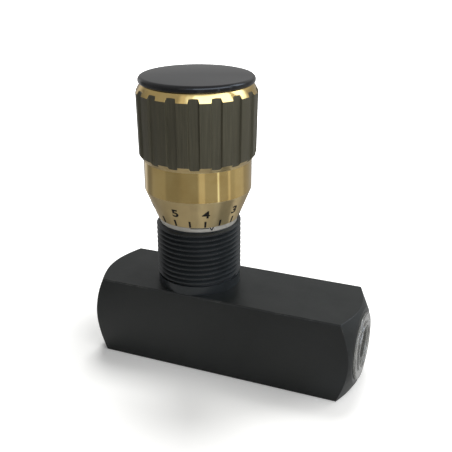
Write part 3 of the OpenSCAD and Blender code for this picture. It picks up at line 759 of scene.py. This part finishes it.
# %% [markdown]
# ## The room
# Polished metal shows the room it stands in, so the room needs a shape. Round a turned drum that shape is
# all in the compass angle: dim walls in front, bright tall panels on the right with dark gaps between
# them, and white behind. The room is a colour ramp over the compass angle, with a few panels in it. It
# could be built from many lamps, but they would also light the object, and a ramp keeps the two apart.

# %% Panels of the room
# Each panel is where it starts and ends, in degrees from the front towards the right, and its brightness.
LOW_PANELS = [(-180, -132, 0.36), (-124, -116, 0.72), (-104, -92, 0.26), (-84, -49, 0.38), (-44, -18, 0.295),
              (-6, 23, 0.35), (27, 36.5, 0.69), (38.5, 63.4, 0.465), (64.8, 66.8, 1.7), (68.2, 87.5, 0.47),
              (89.3, 92.3, 0.80), (95, 104, 0.51), (108, 131, 0.6), (137, 180, 0.42)]
HIGH_PANELS = [(-180, -160, 0.7), (-150, -16, 0.46), (-9, -1, 0.95), (4, 14, 1.7), (21, 98, 4.2),
               (101, 107, 0.8), (110, 130, 4.2), (138, 180, 0.76)]
RAMP_TOP = 4.5                  # the brightness that the ramp's white stands for
PANEL_WHITE, PANEL_TONE = "#e4efff", 1.25


def room_tone(tree, place, panels):
    """The room's brightness in the direction, or over the place, that a vector points to."""
    parts = add(tree, "ShaderNodeSeparateXYZ", {0: place})
    front = add(tree, "ShaderNodeMath", {0: parts.outputs["Y"], 1: -1.0}, operation="MULTIPLY")
    angle = add(tree, "ShaderNodeMath", {0: parts.outputs["X"], 1: front}, operation="ARCTAN2")
    share = add(tree, "ShaderNodeMapRange", {"Value": angle, "From Min": -math.pi, "From Max": math.pi})
    ramp = add(tree, "ShaderNodeValToRGB", {0: share})
    stops = [(turn, tone) for start, end, tone in panels for turn in (start, end)]
    while len(ramp.color_ramp.elements) < len(stops):
        ramp.color_ramp.elements.new(0.5)
    for element, (turn, tone) in zip(ramp.color_ramp.elements, stops):
        element.position = (turn + 180) / 360
        element.color = [tone / RAMP_TOP] * 3 + [1.0]
    return add(tree, "ShaderNodeMath", {0: ramp, 1: RAMP_TOP}, operation="MULTIPLY")


def room_colour(tree, tone):
    """White for the walls, and a cooler white for what is brighter than white paper: the panels."""
    panel = add(tree, "ShaderNodeMapRange", {"Value": tone, "From Min": 1.0, "From Max": PANEL_TONE})
    return add(tree, "ShaderNodeMix", {0: panel, FIRST_COLOUR: "#ffffff", SECOND_COLOUR: PANEL_WHITE},
               data_type="RGBA")


print("room panels:", len(LOW_PANELS), "low and", len(HIGH_PANELS), "high")

# %% [markdown]
# ## The floor
# The floor is a sheet of white paper. It is lit by the lamps and takes the object's shadow. A stronger
# lamp would make it white, but would wash the object out. So for the camera, and for what shows through
# the plug, the paper has a light of its own, a little near the object and more away from it, where the
# lamps grow weak. Beyond the object's own length, glossy metal sees the room's tone in it. This light is
# left out of the lamps that the renderer aims at, or those tests would not hold for every ray.

# %% Floor
FLOOR_SIZE = 6.0                # metres
PAPER_NEAR, PAPER_FAR = 40 * MM, 66 * MM
LIFT_NEAR, LIFT_FAR = 0.18, 0.95
LIFT_FROM, LIFT_TO = 36 * MM, 115 * MM


def ray_kinds(tree):
    """The kinds of ray that ask for a colour, and 1 for those that the camera sends, straight or through
    clear plastic."""
    kinds = add(tree, "ShaderNodeLightPath").outputs
    seen = add(tree, "ShaderNodeMath", {0: kinds["Is Camera Ray"], 1: kinds["Is Transmission Ray"]},
               operation="MAXIMUM")
    return kinds, seen


bm = bmesh.new()
bmesh.ops.create_grid(bm, x_segments=1, y_segments=1, size=FLOOR_SIZE / 2)
floor_mesh = bpy.data.meshes.new("floor")
bm.to_mesh(floor_mesh)
bm.free()
floor = bpy.data.objects.new("floor", floor_mesh)
bpy.context.scene.collection.objects.link(floor)
paper, tree, place = new_material("white_paper")
rays, seen = ray_kinds(tree)
away = add(tree, "ShaderNodeVectorMath", {0: place}, operation="LENGTH").outputs["Value"]
own_light = add(tree, "ShaderNodeMapRange", {
    "Value": away, "From Min": LIFT_FROM, "From Max": LIFT_TO, "To Min": LIFT_NEAR, "To Max": LIFT_FAR})
lift = add(tree, "ShaderNodeMath", {0: seen, 1: own_light}, operation="MULTIPLY")
sheet = add(tree, "ShaderNodeBsdfDiffuse", {"Color": "#f6f6f4"})
glow = add(tree, "ShaderNodeEmission", {"Strength": lift})
lit_sheet = add(tree, "ShaderNodeAddShader", {0: sheet, 1: glow})
beyond = add(tree, "ShaderNodeMapRange", {"Value": away, "From Min": PAPER_NEAR, "From Max": PAPER_FAR})
mirrored = add(tree, "ShaderNodeMath", {0: rays["Is Glossy Ray"], 1: beyond}, operation="MULTIPLY")
low_tone = room_tone(tree, place, LOW_PANELS)
room = add(tree, "ShaderNodeEmission", {"Color": room_colour(tree, low_tone), "Strength": low_tone})
either = add(tree, "ShaderNodeMixShader", {0: mirrored, 1: lit_sheet, 2: room})
add(tree, "ShaderNodeOutputMaterial", {"Surface": either})
paper.cycles.emission_sampling = "NONE"
floor_mesh.materials.append(paper)
print("floor, m:", FLOOR_SIZE)

# %% [markdown]
# ## The world
# The world could be one even white, which would light the object from all sides and flatten it. Instead
# each kind of ray gets its own world: the camera sees white, glossy metal sees the room, with low panels
# near the horizon, high panels over them and a dim ceiling, and for matt surfaces it is a dim even light.
# It is left out of the lamps that the renderer aims at, as the floor's own light is.

# %% World
AMBIENT = 0.08
HORIZON, BOXES_FROM = 0.2, 0.42     # sines of the heights where the low panels end and the high ones start
BOXES_TO, CEILING_FROM = 0.7, 0.8   # and of those where the high panels end and the dim ceiling starts
CEILING = 0.56
world = bpy.data.worlds.new("studio")
bpy.context.scene.world = world
world.use_nodes = True
tree = world.node_tree
tree.nodes.clear()
rays, seen = ray_kinds(tree)
toward = add(tree, "ShaderNodeTexCoord").outputs["Generated"]
up = add(tree, "ShaderNodeSeparateXYZ", {0: toward}).outputs["Z"]
above_low = add(tree, "ShaderNodeMapRange", {"Value": up, "From Min": HORIZON, "From Max": BOXES_FROM})
walls = add(tree, "ShaderNodeMix", {
    0: above_low,
    FIRST_VALUE: room_tone(tree, toward, LOW_PANELS),
    SECOND_VALUE: room_tone(tree, toward, HIGH_PANELS)})
above_high = add(tree, "ShaderNodeMapRange", {"Value": up, "From Min": BOXES_TO, "From Max": CEILING_FROM})
tone = add(tree, "ShaderNodeMix", {0: above_high, FIRST_VALUE: walls, SECOND_VALUE: CEILING})
on_object = add(tree, "ShaderNodeMix", {
    0: rays["Is Diffuse Ray"], FIRST_VALUE: tone, SECOND_VALUE: AMBIENT})
strength = add(tree, "ShaderNodeMix", {0: seen, FIRST_VALUE: on_object, SECOND_VALUE: 1.0})
sky = add(tree, "ShaderNodeBackground", {"Color": room_colour(tree, strength), "Strength": strength})
add(tree, "ShaderNodeOutputWorld", {"Surface": sky})
world.cycles.sampling_method = "NONE"
print("ambient light:", AMBIENT)

# %% [markdown]
# ## Lamps
# Three large soft lamps: one high behind the valve, which gives the shadow in front of the bar, one high
# on the right, and a weaker one on the camera's side, which keeps the black steel readable. Small lamps or
# a sun would draw hard shadows, which soft boxes in a studio don't. Glossy metal doesn't see the lamps: it
# has the room.

# %% Lamps
LAMP_DISTANCE = 1.4             # metres, as are the lamps' sides


def lamp(name, azimuth, elevation, side, watts):
    """A soft square lamp that faces the point that the camera looks at."""
    data = bpy.data.lights.new(name, "AREA")
    data.shape = "RECTANGLE"
    data.size = side
    data.size_y = side
    data.energy = watts
    made = bpy.data.objects.new(name, data)
    bpy.context.scene.collection.objects.link(made)
    facing = direction(azimuth, elevation)
    made.location = AIM + facing * LAMP_DISTANCE
    made.rotation_mode = "QUATERNION"
    made.rotation_quaternion = facing.to_track_quat("Z", "Y")
    made.visible_glossy = False


lamp("back_lamp", 200, 63, side=0.62, watts=13.6)
lamp("right_lamp", 110, 60, side=0.8, watts=8.5)
lamp("front_lamp", 62, 33, side=0.9, watts=4.9)
print("lamps:", len(bpy.data.lights))

# %% [markdown]
# ## The end
# A film look would bend the colours, so the plain Standard view is set, in which a hex value renders about
# as it is written.

# %% Finish
bpy.context.scene.view_settings.view_transform = "Standard"
